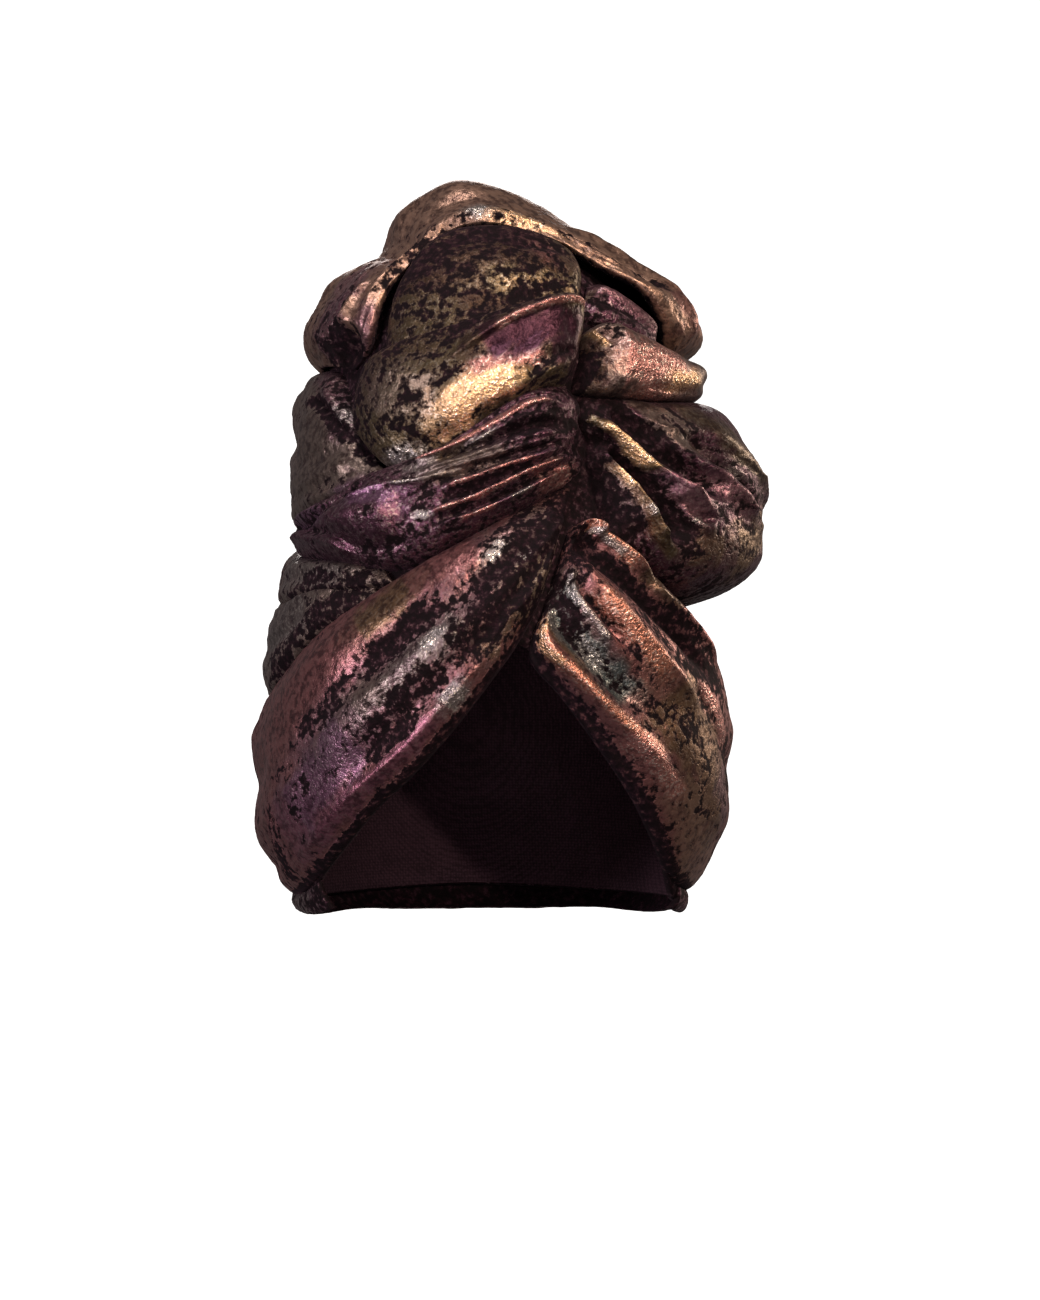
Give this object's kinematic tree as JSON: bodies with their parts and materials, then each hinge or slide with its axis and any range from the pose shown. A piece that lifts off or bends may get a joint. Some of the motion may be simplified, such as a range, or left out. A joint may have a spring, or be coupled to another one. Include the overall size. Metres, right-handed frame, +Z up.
{
  "type": "turban headwrap",
  "caption": "Tall wound headwrap of crushed foil velvet: pointed brow, crossed bands, twisted front, side loop and draped peak over an open hollow for the head.",
  "frame": {"origin": "where the top of the wearer's head meets the inside of the wrap", "axes": "+Z up through the peak, front (brow point) towards -Y, wearer's right towards -X"},
  "size_m": [0.1922, 0.2128, 0.2698],
  "materials": {
    "plum_velvet": "crushed velvet, dark plum pile with sparse foil flecks",
    "mauve_foil": "crushed velvet, mauve metallic foil in patches over dark plum pile",
    "taupe_foil": "crushed velvet, taupe metallic foil in patches over dark plum pile",
    "gold_foil": "crushed velvet, olive gold metallic foil mottled with dark plum pile",
    "rose_foil": "crushed velvet, rose copper metallic foil over dark plum pile"
  },
  "bodies": {
    "root": {"under_wrap": "plum_velvet", "inner_cap": "plum_velvet", "nape_band": "plum_velvet", "brow_band_right": "mauve_foil", "brow_band_left": "rose_foil", "side_fold_low": "taupe_foil", "side_fold_mid": "taupe_foil", "side_fold_high": "taupe_foil", "front_twist": "plum_velvet", "drape_low": "gold_foil", "drape_high": "gold_foil", "top_hood": "taupe_foil", "inner_fold": "mauve_foil", "side_roll": "rose_foil", "side_loop": "plum_velvet"}
  },
  "joints": []
}
